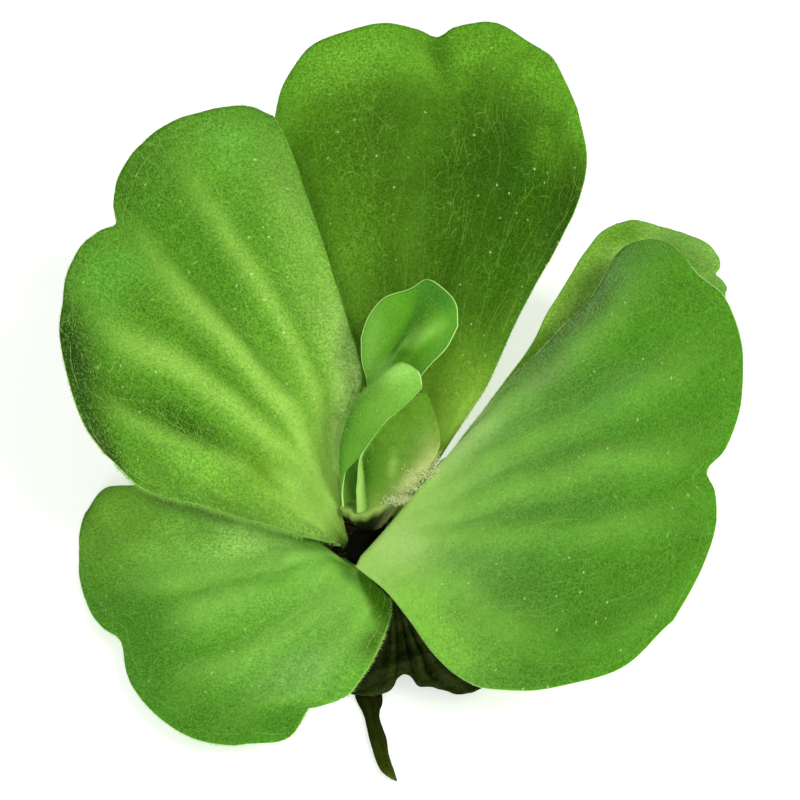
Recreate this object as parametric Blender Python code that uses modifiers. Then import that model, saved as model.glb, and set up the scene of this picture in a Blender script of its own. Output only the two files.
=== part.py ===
"""Water lettuce: a small floating rosette, picked and set down on its root mat.

Five grown leaves fan out around a short crown, two rolled young leaves and a
pale sheath stand in the heart, and a withered leaf and a runner lie in front.
Lengths are metres, +Z is up, +Y runs from the front of the plant to the back,
and the flat underside of the root mat is at Z = 0.
"""

import bmesh
import bpy
import numpy as np

MM = 0.001

# Crown and root mat, mm
CROWN_RADIUS = 3.2
CROWN_BOTTOM = 5.4
CROWN_TOP = 8.8
CROWN_CENTRE = (-2.2, 0.8)
MAT_RADII = (13.0, 12.0)
MAT_CENTRE = (-0.5, 5.0)
MAT_HEIGHT = 5.0
MAT_LUMP = 0.4

# Each leaf is drawn flat, in mm: (across, along), with the crown at (0, 0) and
# "left" and "right" as seen looking out from the crown. It is then bent.
#   base      where the flat drawing's (0, 0) goes
#   azimuth   the way it points in plan, degrees from +X towards +Y
#   pitch     (along, degrees above level) down the middle of the leaf
#   cup       (along, curvature across in 1/mm), above 0 for raised sides
#   press     how far the cup's depth is flattened, 1 for not at all
#   roll      (along, degrees), above 0 for a raised right side
#   fold      a lengthwise bulge: its (along, across) line, half width, height
#   ribs      (how many ridges, height in mm)
#   heel      the base edge, where it isn't straight
#   arch      how far the base runs on inwards before it turns down to the foot
#   foot      the two ends of the line where it joins the crown, if it does
#   quads     across, along the blade, and between the crown and the blade
#   sheet     (thickness in mm, the margin's share of it)
GROWN = dict(quads=(18, 11, 3), sheet=(1.1, 0.5))
LEAVES = {
    "leaf_back": dict(
        base=(2.3, 7.8, 9.1), azimuth=87,
        pitch=[(0, 46), (8, 38), (30, 27), (54, 16)],
        cup=[(0, 0.06), (12, 0.01), (54, 0)],
        roll=[(0, 3), (20, 8), (54, 10)],
        ribs=(4, 0.35),
        left=[(-2.8, 2.5), (-3.7, 5.5), (-6.5, 10), (-9.4, 16.8), (-12.2, 22.6), (-14.7, 28.6),
              (-17, 34.2), (-19, 42.5)],
        margin=[(-19, 42.5), (-18.9, 47), (-18.1, 50.8), (-15.4, 55.1), (-10.6, 57.2),
                (-6.3, 57.8), (-2.6, 56.8), (0.1, 55.2), (2.2, 56.4), (5.2, 56.9), (7.6, 56.5),
                (11.3, 53.7), (13.7, 51.7), (15.5, 48.3), (17.1, 44.3)],
        right=[(2.2, 3), (3.2, 4.7), (5.2, 8), (7.5, 11.8), (10.2, 18), (12.8, 23.5),
               (15.7, 29), (17.6, 33.3), (18.3, 38.3), (17.1, 44.3)],
        foot=((-4.4, 5.4, 7.2), (0.0, 5.5, 7.2)), **GROWN,
    ),
    "leaf_left": dict(
        base=(-3.0, 2.7, 10.1), azimuth=140,
        pitch=[(0, 42), (10, 30), (25, 22), (48, 12)],
        cup=[(0, 0.05), (15, 0.012), (50, 0.004)],
        roll=[(0, 0), (15, 5), (50, 14)],
        ribs=(4, 0.5),
        left=[(-5.2, 0.8), (-8.4, 4.3), (-11.8, 9.1), (-14.5, 13.9), (-17.6, 19.1), (-18, 24.8)],
        margin=[(-18, 24.8), (-17, 28.9), (-14.7, 33.6), (-11.2, 38.9), (-7.9, 41.9),
                (-5.5, 43.8), (-2, 45.3), (0.8, 45.2), (2.8, 44.3), (4.4, 46.3), (7.6, 48.4),
                (11.9, 49.3), (16.6, 48.5), (21.2, 45.9), (23.8, 43.2), (24.8, 40.6)],
        right=[(-3.5, 1), (-2.7, 2.9), (-0.3, 5), (2.4, 7.6), (4.8, 9.5), (9.3, 11.7),
               (11.3, 14.1), (14.9, 21), (19.9, 30.5), (23.1, 36.5), (24.8, 40.6)],
        foot=((-7.0, 0.4, 8.6), (-6.4, 2.8, 8.8)), **GROWN,
    ),
    "leaf_front_left": dict(
        base=(-3.0, -2.1, 7.8), azimuth=208,
        pitch=[(0, 4), (10, -8), (22, -17), (34, -21)],
        cup=[(0, 0), (15, -0.008), (40, -0.012)],
        ribs=(4, 0.4),
        left=[(-2, 0.5), (-5, 0), (-8, 2), (-11, 5.5), (-12.8, 9.5), (-12.8, 13)],
        margin=[(-12.8, 13), (-14, 16), (-13, 19.5), (-10.5, 23.5), (-7, 26.5), (-2, 28.5),
                (3, 29), (7.2, 27.9), (10, 29), (14, 29.6), (19, 29), (24, 27.5),
                (27.6, 25.3)],
        right=[(2, 2.5), (8, 5), (16, 8.5), (22.5, 13.2), (26.5, 18), (29.6, 22),
               (27.6, 25.3)],
        foot=((-3.2, -4.4, 6.2), (-6.3, -2.4, 6.2)), **GROWN,
    ),
    "leaf_right": dict(
        base=(1.0, -1.8, 12.6), azimuth=8,
        pitch=[(-8, 6), (0, 16), (6, 18), (14, 12), (26, 6), (44, 0)],
        cup=[(0, -0.004), (15, 0), (50, 0)],
        roll=[(-8, -3), (0, -6), (10, -9), (44, -12)],
        ribs=(5, 0.5),
        left=[(-8.7, 7.0), (-12, 10.6), (-15.4, 14.6), (-18.7, 19.3), (-22.3, 23.9),
              (-26, 27.6), (-29.6, 30.4), (-30.5, 33.5)],
        margin=[(-30.5, 33.5), (-28.3, 36.4), (-24.5, 38.4), (-21.2, 40.4), (-17, 41.1),
                (-12.5, 40.6), (-7, 39), (-2.5, 36.4), (0, 33.7), (2.6, 34), (6.5, 33.2),
                (11.5, 30.3), (16.2, 26.3)],
        right=[(1.9, -5.7), (5.4, -3.1), (9.5, -1.1), (13.6, 0.5), (17, 2.7), (19.2, 5.6),
               (20.8, 12), (20.2, 20), (16.2, 26.3)],
        foot=((2.9, 1.4, 8.0), (1.5, -3.2, 8.0)), arch=0.1, **GROWN,
    ),
    "leaf_right_back": dict(
        base=(2.7, 3.2, 7.3), azimuth=39,
        pitch=[(0, 30), (10, 20), (25, 14), (50, 6)],
        cup=[(0, 0.03), (15, 0.01), (50, 0)],
        ribs=(4, 0.35),
        left=[(-1.6, 4), (-4.0, 9), (-6.1, 18.2), (-8, 25), (-10.7, 31.8), (-13.3, 38.5),
              (-13.8, 43)],
        margin=[(-13.8, 43), (-11.6, 46.3), (-7.5, 48.3), (-4, 49.2), (-1.5, 48.3),
                (-0.6, 46.7), (1.6, 46.2), (7, 42.5), (11.7, 37.2), (14, 31)],
        right=[(2.6, 4), (5, 8.5), (9, 16), (13.5, 24), (14, 31)],
        foot=((0.8, 4.7, 5.8), (2.7, 2.2, 5.8)), **GROWN,
    ),
    "young_leaf_back": dict(
        base=(-2.0, 5.3, 9.0), azimuth=78,
        pitch=[(0, 62), (12, 54), (28, 44)],
        cup=[(0, 0.2), (12, 0.1), (20, 0.05)],
        fold=([(12, -1.4), (14, -1.8), (17.3, 0.7), (19, 1.8), (22.5, 4.2)], 1.6, 1.8),
        ribs=(1, 0),
        left=[(-1.3, 0.6), (-1.7, 8), (-2.3, 13.4), (-3.6, 16.7), (-4.1, 19.4)],
        margin=[(-4.1, 19.4), (-3.6, 21.8), (-2.2, 24.1), (0.5, 25.5), (2.2, 26.8), (4.2, 26.1),
                (5.9, 24.7), (6.5, 22.4)],
        right=[(1.3, 0.6), (1.3, 8), (1.7, 13.5), (3.7, 17.3), (5.5, 19.8), (6.5, 22.4)],
        foot=((-2.9, 4.4, 9.5), (-1.0, 4.4, 9.5)), quads=(12, 12, 2), sheet=(0.7, 0.6),
    ),
    "young_leaf_front": dict(
        base=(-4.6, 1.5, 13.4), azimuth=56,
        pitch=[(0, 54), (20, 42)],
        cup=[(0, 0.5), (5, 0.36), (10, 0.31), (20, 0.27)], press=0.5,
        ribs=(1, 0),
        left=[(-3.2, 1.2), (-5.8, 3), (-8.2, 5), (-9.8, 7.4), (-11.3, 10), (-13.1, 13.4),
              (-14.4, 16)],
        margin=[(-14.4, 16), (-12, 17.4), (-9, 17.6), (-5, 16.8), (-1, 15.6), (3, 13.5)],
        right=[(1.8, 1.2), (2.4, 5), (3, 10), (3, 13.5)],
        foot=None, quads=(14, 11, 0), sheet=(0.5, 0.7),
    ),
    "sheath": dict(
        base=(-1.5, 1.0, 11.8), azimuth=70,
        pitch=[(-4, 5), (1, 18), (4, 50), (8, 64), (16, 66)],
        cup=[(0, 0.04)],
        roll=[(0, -16)],
        ribs=(1, 0),
        left=[(-4.9, -0.7), (-4.2, 3), (-3.2, 6), (-2.4, 9)],
        margin=[(-2.4, 9), (-1, 12), (1.3, 16.2), (3, 14.2)],
        right=[(4.0, 9.0), (4.2, 10.4), (3.9, 12), (3, 14.2)],
        heel=[(-4.9, -0.7), (-3.9, -1.3), (-2.3, -0.9), (-0.9, 0.6), (0.4, 2.5), (1.7, 4.5),
              (3.0, 6.8), (4.0, 9.0)],
        foot=((-3.6, -0.4, 9.5), (-1.8, 0.8, 9.5)), arch=0.1, quads=(10, 7, 2), sheet=(0.45, 0.8),
    ),
    "withered_leaf": dict(
        base=(0.3, -4.6, 6.4), azimuth=-85,
        pitch=[(0, -36), (6, -27), (12, -8)],
        cup=[(0, 0)],
        ribs=(4, 0.5),
        left=[(-1.2, 1), (-2.8, 5), (-5.6, 9), (-8.4, 11.4)],
        margin=[(-8.4, 11.4), (-7, 12.1), (-5, 12.1), (-2.7, 11.2), (-1.2, 10.3), (-0.2, 9.9),
                (0.8, 10.7), (1.6, 11.7), (4, 11.9), (6.3, 11)],
        right=[(1.6, 1), (2.4, 5), (4.5, 8.6), (6.3, 11)],
        foot=((0.5, -3.9, 5.7), (-1.5, -3.9, 5.7)), quads=(14, 8, 1), sheet=(0.5, 0.8),
    ),
    "stolon": dict(
        base=(-2.5, -9.0, 0.7), azimuth=-85,
        pitch=[(0, 0)],
        cup=[(0, -0.15)],
        ribs=(1, 0),
        left=[(-0.2, 1), (-0.6, 5.5), (-0.2, 7), (-0.1, 8.2), (-0.6, 10.5), (-0.7, 12.5),
              (-1.2, 15)],
        margin=[(-1.2, 15), (-1.3, 15.8), (-0.9, 15.6)],
        right=[(1.8, 1), (2.4, 4.7), (1.6, 7.5), (1.2, 10.8), (0.6, 13.6), (0, 14.9),
               (-0.9, 15.6)],
        foot=((-2.4, -8.6, 0.7), (-4.2, -8.6, 0.7)), quads=(4, 14, 1), sheet=(0.6, 0.8),
    ),
}


def along(points, share):
    """Places at each share of the length of the smooth curve through points."""
    p = np.array(points, float)
    p = np.vstack([2 * p[0] - p[1], p, 2 * p[-1] - p[-2]])
    t = np.linspace(0, 1, 24, endpoint=False)[:, None]
    runs = []
    for a, b, c, d in zip(p, p[1:], p[2:], p[3:]):
        runs.append(
            0.5 * (2 * b + (c - a) * t + (2 * a - 5 * b + 4 * c - d) * t**2
                   + (3 * b - a - 3 * c + d) * t**3)
        )
    curve = np.vstack(runs + [p[-2:-1]])
    length = np.append(0, np.cumsum(np.linalg.norm(np.diff(curve, axis=0), axis=1)))
    share = np.asarray(share) * length[-1]
    return np.stack([np.interp(share, length, curve[:, k]) for k in (0, 1)], -1)


def flat_places(leaf, u, v):
    """The leaf's flat drawing at u (left to right) and v (base to margin)."""
    left, right, margin = along(leaf["left"], v), along(leaf["right"], v), along(leaf["margin"], u)
    corner = [np.array(leaf[s][i], float) for s, i in
              (("left", 0), ("right", 0), ("left", -1), ("right", -1))]
    heel = along(leaf.get("heel", [corner[0], corner[1]]), u)
    u, v = u[..., None], v[..., None]
    return (
        (1 - u) * left + u * right + (1 - v) * heel + v * margin
        - (1 - u) * (1 - v) * corner[0] - u * (1 - v) * corner[1]
        - (1 - u) * v * corner[2] - u * v * corner[3]
    )


def stepped(knots, x):
    table = np.array(knots, float)
    return np.interp(x, table[:, 0], table[:, 1])


def bent(leaf, u, v):
    """3-D places, mm, of the leaf's flat drawing at u, v."""
    flat = flat_places(leaf, u, v)
    across, out = flat[..., 0], flat[..., 1]
    steps = np.linspace(-20, 80, 1001)
    pitch = np.radians(stepped(leaf["pitch"], steps))
    reach = np.cumsum(np.cos(pitch)) * 0.1
    rise = np.cumsum(np.sin(pitch)) * 0.1
    reach, rise = reach - reach[200], rise - rise[200]
    pitch = np.interp(out, steps, pitch)
    curve = stepped(leaf["cup"], out)
    curve = np.where(np.abs(curve) < 1e-5, 1e-5, curve)
    side = np.sin(curve * across) / curve
    lift = (1 - np.cos(curve * across)) / curve * leaf.get("press", 1)
    fade = np.clip(v * 6, 0, 1) * np.clip((1 - v) * 3, 0, 1)
    if "fold" in leaf:
        line, half, height = leaf["fold"]
        off = (across - stepped(line, out)) / half
        lift = lift + height * np.exp(-(off**2)) * fade
    ridges, height = leaf["ribs"]
    lift = lift - height * np.cos(2 * np.pi * ridges * u) * fade
    roll = np.radians(stepped(leaf.get("roll", [(0, 0)]), out))
    side, lift = (
        side * np.cos(roll) - lift * np.sin(roll),
        side * np.sin(roll) + lift * np.cos(roll),
    )
    forward = np.interp(out, steps, reach) - np.sin(pitch) * lift
    up = np.interp(out, steps, rise) + np.cos(pitch) * lift
    turn = np.radians(leaf["azimuth"])
    x = forward * np.cos(turn) + side * np.sin(turn)
    y = forward * np.sin(turn) - side * np.cos(turn)
    return np.stack([x, y, up], -1) + np.array(leaf["base"], float)


def leaf_grid(leaf, columns, rows, foot_rows):
    """Rows of 3-D places, mm, from the foot on the crown to the margin."""
    u, v = np.meshgrid(np.linspace(0, 1, columns + 1), np.linspace(0, 1, rows + 1))
    blade = bent(leaf, u, v)
    if not foot_rows:
        return blade
    share = u[0][:, None]
    start, end = (np.array(p, float) for p in leaf["foot"])
    foot = (1 - share) * start + share * end
    inward = blade[0] - blade[1]
    inward /= np.linalg.norm(inward, axis=1)[:, None]
    reach = leaf.get("arch", 0.4) * np.linalg.norm(foot - blade[0], axis=1)
    knee = blade[0] + inward * reach[:, None]
    legs = []
    for i in range(foot_rows):
        t = i / foot_rows
        legs.append(foot * (1 - t) ** 2 + 2 * knee * t * (1 - t) + blade[0] * t**2)
    return np.concatenate([np.array(legs), blade])


# Making the pieces
for item in list(bpy.data.objects):
    bpy.data.objects.remove(item)


def material(name, colour, roughness, subsurface=0.0):
    made = bpy.data.materials.new(name)
    made.use_nodes = True
    shader = made.node_tree.nodes["Principled BSDF"]
    shader.inputs["Base Color"].default_value = (*colour, 1)
    shader.inputs["Roughness"].default_value = roughness
    shader.inputs["Subsurface Weight"].default_value = subsurface
    return made


def new_object(name, shape, look):
    mesh = bpy.data.meshes.new(name)
    bmesh.ops.recalc_face_normals(shape, faces=shape.faces)
    shape.to_mesh(mesh)
    shape.free()
    for face in mesh.polygons:
        face.use_smooth = True
    made = bpy.data.objects.new(name, mesh)
    bpy.context.scene.collection.objects.link(made)
    mesh.materials.append(look)
    return made


def sheet_piece(name, leaf, look):
    """A leaf from a flat grid: bent into place, then thickened with Solidify."""
    columns, rows, foot_rows = leaf["quads"]
    places = leaf_grid(leaf, columns, rows, foot_rows) * MM
    shape = bmesh.new()
    bmesh.ops.create_grid(shape, x_segments=columns, y_segments=rows + foot_rows, size=0.5)
    corners = []
    for corner in shape.verts:
        i = round((corner.co.y + 0.5) * (rows + foot_rows))
        j = round((corner.co.x + 0.5) * columns)
        corner.co = places[i, j]
        edge = min(i + 2, rows + foot_rows - i, j + 1, columns - j + 1)
        corners.append(min(1, max(0, edge - 1) / 5) * (1 - 0.6 * i / (rows + foot_rows)))
    made = new_object(name, shape, look)
    plump = made.vertex_groups.new(name="plump")
    for index, weight in enumerate(corners):
        plump.add([index], weight, "REPLACE")
    thicken = made.modifiers.new("thickness", "SOLIDIFY")
    thicken.thickness = leaf["sheet"][0] * MM
    thicken.thickness_vertex_group = leaf["sheet"][1]
    thicken.vertex_group = "plump"
    thicken.offset = 0
    return made


def crown_piece(look):
    """The short stem: a ball squashed between the root mat and the leaf feet."""
    shape = bmesh.new()
    bmesh.ops.create_uvsphere(shape, u_segments=20, v_segments=12, radius=1)
    half = (CROWN_TOP - CROWN_BOTTOM) / 2
    for corner in shape.verts:
        x, y, z = corner.co
        stout = (1 - abs(z) ** 4) ** 0.25 / max(1e-6, (1 - z * z) ** 0.5) if abs(z) < 0.999 else 0
        corner.co = (
            (CROWN_CENTRE[0] + x * stout * CROWN_RADIUS) * MM,
            (CROWN_CENTRE[1] + y * stout * CROWN_RADIUS) * MM,
            (CROWN_BOTTOM + half * (1 + z)) * MM,
        )
    return new_object("crown", shape, look)


def mat_piece(look):
    """The root mat: a low lumpy dome, cut flat underneath."""
    shape = bmesh.new()
    bmesh.ops.create_uvsphere(shape, u_segments=28, v_segments=14, radius=1)
    bmesh.ops.bisect_plane(
        shape, geom=shape.verts[:] + shape.edges[:] + shape.faces[:],
        plane_co=(0, 0, 0), plane_no=(0, 0, -1), clear_outer=True, dist=1e-5,
    )
    bmesh.ops.holes_fill(shape, edges=[e for e in shape.edges if e.is_boundary], sides=0)
    for corner in shape.verts:
        x, y, z = corner.co
        turn = np.arctan2(y, x)
        lump = MAT_LUMP * (np.sin(5 * turn + 3 * z) + 0.6 * np.sin(9 * turn - 7 * z))
        flat = 1 - (1 - min(1, z)) ** 2.2
        corner.co = (
            (MAT_CENTRE[0] + x * (MAT_RADII[0] + lump)) * MM,
            (MAT_CENTRE[1] + y * (MAT_RADII[1] + lump)) * MM,
            (MAT_HEIGHT * flat) * MM,
        )
    return new_object("root_mat", shape, look)


fresh = material("fresh leaf", (0.16, 0.42, 0.04), 0.55, 0.1)
dark = material("shaded leaf", (0.10, 0.30, 0.02), 0.55, 0.1)
tender = material("young leaf", (0.22, 0.50, 0.07), 0.5, 0.1)
pale = material("sheath skin", (0.42, 0.55, 0.18), 0.6, 0.1)
stem = material("crown flesh", (0.38, 0.42, 0.16), 0.7)
dead = material("withered leaf", (0.05, 0.05, 0.015), 0.7)
strap = material("runner skin", (0.09, 0.10, 0.03), 0.6)
fibre = material("root fibre", (0.10, 0.075, 0.035), 0.85)
LOOKS = {
    "leaf_back": dark, "leaf_left": fresh, "leaf_front_left": fresh, "leaf_right": fresh,
    "leaf_right_back": fresh, "young_leaf_back": tender, "young_leaf_front": tender,
    "sheath": pale, "withered_leaf": dead, "stolon": strap,
}
for name, leaf in LEAVES.items():
    sheet_piece(name, leaf, LOOKS[name].copy())
crown_piece(stem)
mat_piece(fibre)
for spare in (fresh, dark, tender, pale, dead, strap):
    bpy.data.materials.remove(spare)
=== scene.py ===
# Water lettuce, picked and resting on its roots: leaves, young leaves, sheath, roots
import math

import bpy
import numpy as np
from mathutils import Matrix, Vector


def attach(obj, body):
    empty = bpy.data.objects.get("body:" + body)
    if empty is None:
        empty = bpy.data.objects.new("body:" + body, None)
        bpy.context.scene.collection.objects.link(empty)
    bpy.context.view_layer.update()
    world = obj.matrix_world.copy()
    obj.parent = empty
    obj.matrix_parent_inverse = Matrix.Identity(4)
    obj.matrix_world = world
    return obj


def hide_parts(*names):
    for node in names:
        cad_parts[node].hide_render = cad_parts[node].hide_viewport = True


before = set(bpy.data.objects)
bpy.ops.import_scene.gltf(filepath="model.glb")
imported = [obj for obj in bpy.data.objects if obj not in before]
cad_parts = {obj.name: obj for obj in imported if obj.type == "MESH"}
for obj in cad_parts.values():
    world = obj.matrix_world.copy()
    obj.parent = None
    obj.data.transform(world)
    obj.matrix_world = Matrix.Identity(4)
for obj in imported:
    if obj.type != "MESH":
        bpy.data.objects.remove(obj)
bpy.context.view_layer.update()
chance = np.random.default_rng(11)  # draws the veins, hairs, wool and roots
mm = 0.001


# Small helpers

def paint(code):  # "rrggbb" as seen, to the linear colour that shaders want
    seen = [int(code[i:i + 2], 16) / 255 for i in (0, 2, 4)]
    return tuple(c / 12.92 if c <= 0.04045 else ((c + 0.055) / 1.055) ** 2.4 for c in seen)


def smooth(x):  # eases 0..1
    x = np.clip(x, 0, 1)
    return x * x * (3 - 2 * x)


def stepped(knots, x):  # read off straight lines from knot to knot
    table = np.array(knots, float)
    return np.interp(x, table[:, 0], table[:, 1])


def unit(ways):  # the same directions, each of length 1
    return ways / np.maximum(np.linalg.norm(ways, axis=-1), 1e-9)[..., None]


def freshStart():  # nothing selected, nothing active
    bpy.ops.object.select_all(action="DESELECT")
    bpy.context.view_layer.objects.active = None


def vertexPlaces(mesh):
    flat = np.empty(len(mesh.vertices) * 3)
    mesh.vertices.foreach_get("co", flat)
    return flat.reshape(-1, 3)


def putVertices(mesh, places):
    mesh.vertices.foreach_set("co", np.asarray(places, float).ravel())
    mesh.update()


def rideOn(piece, slot, *nodes):  # every piece rides the one body; some replace a node's CAD shape
    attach(piece, "root")
    if nodes:
        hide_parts(*nodes)


# Leaf shapes: each is drawn flat in mm, (across, along) from its base, then bent

def alongCurve(points, share):  # places at shares of the length of the smooth curve
    p = np.array(points, float)
    p = np.vstack([2 * p[0] - p[1], p, 2 * p[-1] - p[-2]])
    t = np.linspace(0, 1, 24, endpoint=False)[:, None]
    runs = []
    for a, b, c, d in zip(p, p[1:], p[2:], p[3:]):
        runs.append(0.5 * (2 * b + (c - a) * t + (2 * a - 5 * b + 4 * c - d) * t**2
                           + (3 * b - a - 3 * c + d) * t**3))
    curve = np.vstack(runs + [p[-2:-1]])
    length = np.append(0, np.cumsum(np.linalg.norm(np.diff(curve, axis=0), axis=1)))
    share = np.asarray(share) * length[-1]
    return np.stack([np.interp(share, length, curve[:, k]) for k in range(curve.shape[1])], -1)


def flatPlaces(leaf, u, v):  # the drawing at u, left to right, and v, base to margin
    left, right = alongCurve(leaf["left"], v), alongCurve(leaf["right"], v)
    margin = alongCurve(leaf["margin"], u)
    corner = [np.array(leaf[s][i], float) for s, i in
              (("left", 0), ("right", 0), ("left", -1), ("right", -1))]
    heel = alongCurve(leaf.get("heel", [corner[0], corner[1]]), u)
    u, v = u[..., None], v[..., None]
    return ((1 - u) * left + u * right + (1 - v) * heel + v * margin
            - (1 - u) * (1 - v) * corner[0] - u * (1 - v) * corner[1]
            - (1 - u) * v * corner[2] - u * v * corner[3])


def ridgeMask(leaf, u, v):  # 1 on a ridge's crest, 0 in the valleys
    total = np.zeros_like(u)
    for line, half, strength in leaf.get("ridges", []):
        off = (u - stepped(line, v)) / half
        total = np.maximum(total, strength * np.exp(-off**2))
    return total


def swells(leaf, across, out):  # gentle unevenness, from long waves to short ones
    draw = np.random.default_rng(leaf.get("seed", 1))
    total = np.zeros_like(across)
    for length, height in leaf.get("swells", []):
        for _ in range(5):
            turn, phase = draw.uniform(0, 2 * math.pi, 2)
            wave = 2 * math.pi / (length * draw.uniform(0.8, 1.25))
            run = across * math.cos(turn) + out * math.sin(turn)
            total = total + height / 2 * np.sin(wave * run + phase)
    return total


def rolled(leaf, u, v):  # a sheet wound round a spine, 0 degrees facing the leaf's "face"
    start, end = stepped(leaf["start"], v), stepped(leaf["end"], v)
    spin = np.radians(start + (end - start) * u)
    v = v * (1 - leaf["short"] * (1 - np.cos(spin)) / 2)
    spine = alongCurve(leaf["spine"], v)
    ahead = unit(alongCurve(leaf["spine"], np.minimum(v + 0.01, 1))
                 - alongCurve(leaf["spine"], np.maximum(v - 0.01, 0)))
    face = np.array(leaf["face"], float)
    face = unit(face - (ahead @ face)[..., None] * ahead)
    aside = np.cross(ahead, face)
    radius = (stepped(leaf["radius"], v) * (1 - leaf["tuck"] * (1 - u)))[..., None]
    return spine + radius * (np.cos(spin)[..., None] * face * leaf["flat"] + np.sin(spin)[..., None] * aside)


def bent(leaf, u, v):  # the drawing bent to shape: 3-D places in mm
    if "spine" in leaf:
        return rolled(leaf, u, v)
    flat = flatPlaces(leaf, u, v)
    across, out = flat[..., 0], flat[..., 1]
    steps = np.linspace(-20, 80, 1001)  # mm along the leaf, 0.1 apart; step 200 is at the base
    pitch = np.radians(stepped(leaf["pitch"], steps))
    reach, rise = np.cumsum(np.cos(pitch)) * 0.1, np.cumsum(np.sin(pitch)) * 0.1
    reach, rise = reach - reach[200], rise - rise[200]
    pitch = np.interp(out, steps, pitch)
    curve = stepped(leaf["cup"], out)
    curve = np.where(np.abs(curve) < 1e-5, 1e-5, curve)
    side = np.sin(curve * across) / curve
    lift = (1 - np.cos(curve * across)) / curve
    rimFade = smooth((1 - v) / 0.3)
    for line, half, height in leaf.get("folds", []):
        off = (across - stepped(line, out)) / half
        lift = lift + height * np.exp(-off**2) * smooth(v / 0.2) * rimFade
    relief = leaf.get("relief", 0) * smooth((v - leaf.get("reliefStart", 0)) / 0.5) * rimFade
    lift = lift + relief * (ridgeMask(leaf, u, v) - 0.4)
    lift = lift + swells(leaf, across, out) * smooth(v / 0.25)
    roll = np.radians(stepped(leaf.get("roll", [(0, 0)]), out))
    side, lift = (side * np.cos(roll) - lift * np.sin(roll),
                  side * np.sin(roll) + lift * np.cos(roll))
    forward = np.interp(out, steps, reach) - np.sin(pitch) * lift
    up = np.interp(out, steps, rise) + np.cos(pitch) * lift
    turn = math.radians(leaf["azimuth"])
    x = forward * math.cos(turn) + side * math.sin(turn)
    y = forward * math.sin(turn) - side * math.cos(turn)
    return np.stack([x, y, up], -1) + np.array(leaf["base"], float)


def leafPlaces(leaf, u, share):  # share runs 0..1 from the foot to the margin
    footPart = leaf["quads"][2] / (leaf["quads"][1] + leaf["quads"][2])
    v = (share - footPart) / (1 - footPart)
    places = bent(leaf, u, np.clip(v, 0, 1))
    if footPart:
        start, end = (np.array(p, float) for p in leaf["foot"])
        t = np.clip(share / footPart, 0, 1)[:, None]
        foot = (1 - u[:, None]) * start + u[:, None] * end
        base = bent(leaf, u, np.zeros_like(u))
        inward = unit(base - bent(leaf, u, np.full_like(u, 0.09)))
        reach = leaf.get("arch", 0.4) * np.linalg.norm(foot - base, axis=1)
        knee = base + inward * reach[:, None]
        leg = foot * (1 - t) ** 2 + 2 * knee * t * (1 - t) + base * t**2
        places = np.where(v[:, None] < 0, leg, places)
    return places, np.where(v < 0, v * 0.5, v)


def thickness(leaf, u, v):  # mm: full at the base, thin far out, thinnest at the rim
    thick, thin, rim = leaf["sheet"]
    wide, long = leaf["span"]
    edge = np.minimum(np.minimum(u, 1 - u) * wide, (1 - np.clip(v, 0, 1)) * long)
    return thick * (1 - (1 - thin) * smooth(v)) * (rim + (1 - rim) * smooth(edge / leaf.get("taper", 3)))


def surfaceAt(leaf, u, v, side=1):  # places on a face, its normals, and the ways across and out
    step = 0.003
    here = bent(leaf, u, v)
    across = (bent(leaf, np.minimum(u + step, 1), v) - bent(leaf, np.maximum(u - step, 0), v)) / (2 * step)
    out = (bent(leaf, u, np.minimum(v + step, 1)) - bent(leaf, u, np.maximum(v - step, 0))) / (2 * step)
    normal = np.cross(across, out)
    size = np.linalg.norm(normal, axis=1)  # mm2 for a unit of u and v
    normal = unit(normal)
    face = here + normal * (side * thickness(leaf, u, v) / 2)[:, None]
    return face, normal * side, unit(across), unit(out), size


def tinted(colour, code, share):  # moved towards a painted code
    share = share[:, None]
    return colour * (1 - share) + np.array(paint(code)) * share


def leafTone(leaf, u, v):  # the painted colour: a wash from base to margin, ridges, lines of painted shade and light, painted shadows, then dabs
    table = [(at, *paint(code)) for at, code in leaf["wash"]]
    at = [row[0] for row in table]
    colour = np.stack([np.interp(v, at, [row[k] for row in table]) for k in (1, 2, 3)], -1)
    crest = ridgeMask(leaf, u, v) * leaf.get("crestShare", 0.6) * smooth((1.02 - v) / 0.35)
    crest = np.clip(crest * (0.3 + 0.7 * smooth((v - 0.02) / 0.2)), 0, 1)
    colour = tinted(colour, leaf.get("crest", "8cc850"), crest)
    # lines of painted shade (along creases, under an overlapping edge) and of painted light over a cast
    # shadow
    for line, half, strength, code in leaf.get("shadingLines", []):
        near = strength * np.exp(-((u - stepped(line, v)) / half) ** 2)
        colour = tinted(colour, code, near * smooth((v - leaf.get("shadingStart", 0.12)) / 0.35))
    for line, soft, code in leaf.get("shades", []):  # painted shadows: darker towards the left of a line
        colour = tinted(colour, code, smooth((stepped(line, v) - u) / soft + 0.5))
    for atU, atV, wide, long, code in leaf.get("dabs", []):
        colour = tinted(colour, code, np.exp(-((u - atU) / wide) ** 2 - ((v - atV) / long) ** 2))
    return colour


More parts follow.
